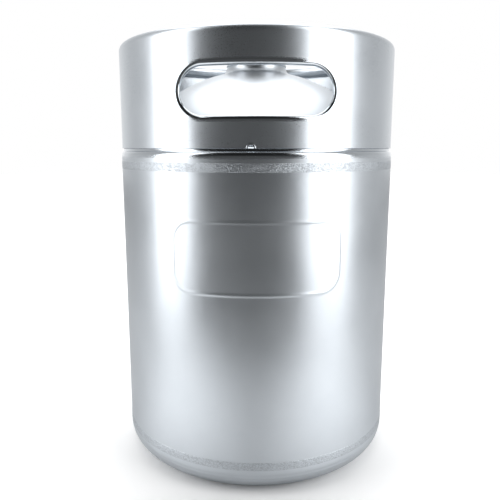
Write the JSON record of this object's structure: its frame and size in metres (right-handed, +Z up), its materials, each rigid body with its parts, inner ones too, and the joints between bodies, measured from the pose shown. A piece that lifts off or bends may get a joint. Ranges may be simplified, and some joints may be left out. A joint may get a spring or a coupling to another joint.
{
  "type": "beer keg",
  "caption": "Small stainless steel beer keg: a welded vessel with a domed shoulder, a rolled handle collar with hand slots, and a threaded neck closed by a screw cap.",
  "frame": {"origin": "on the floor, on the axis of the keg", "axes": "+Z up along the keg's axis; one handle slot faces -Y, the front, and the other +Y"},
  "size_m": [0.1746, 0.1746, 0.268],
  "materials": {
    "satin_sheet": "fine satin, blasted sheet",
    "collar_sheet": "satin, a little finer than the body",
    "weld_bead": "fused and dressed, faintly rippled",
    "turned_steel": "turned and polished",
    "insert_plastic": "black polypropylene",
    "silicone": "translucent white silicone"
  },
  "bodies": {
    "keg": {"base_pan": "satin_sheet", "lower_girth_weld": "weld_bead", "body_tube": "satin_sheet", "body_seam_weld": "weld_bead", "upper_girth_weld": "weld_bead", "shoulder_dome": "satin_sheet", "neck_weld": "weld_bead", "threaded_neck": "turned_steel", "handle_collar": "collar_sheet", "collar_seam_weld": "weld_bead", "collar_tack_welds": "weld_bead"},
    "seal": {"cap_gasket": "silicone"},
    "cap": {"cap_shell": "turned_steel", "cap_insert": "insert_plastic", "cap_disc": "turned_steel"}
  },
  "joints": [
    {"name": "cap_lift", "type": "slide", "parent": "keg", "child": "seal", "axis": [0, 0, 1], "range_m": [0, 0.009]},
    {"name": "cap_turn", "type": "hinge", "parent": "seal", "child": "cap", "pos_m": [0, 0, 0.26], "axis": [0, 0, 1], "range_deg": [0, 900]}
  ],
  "couplings": [
    {"joint": "cap_lift", "follows": "cap_turn", "m_per_rad": 0.00057296}
  ]
}
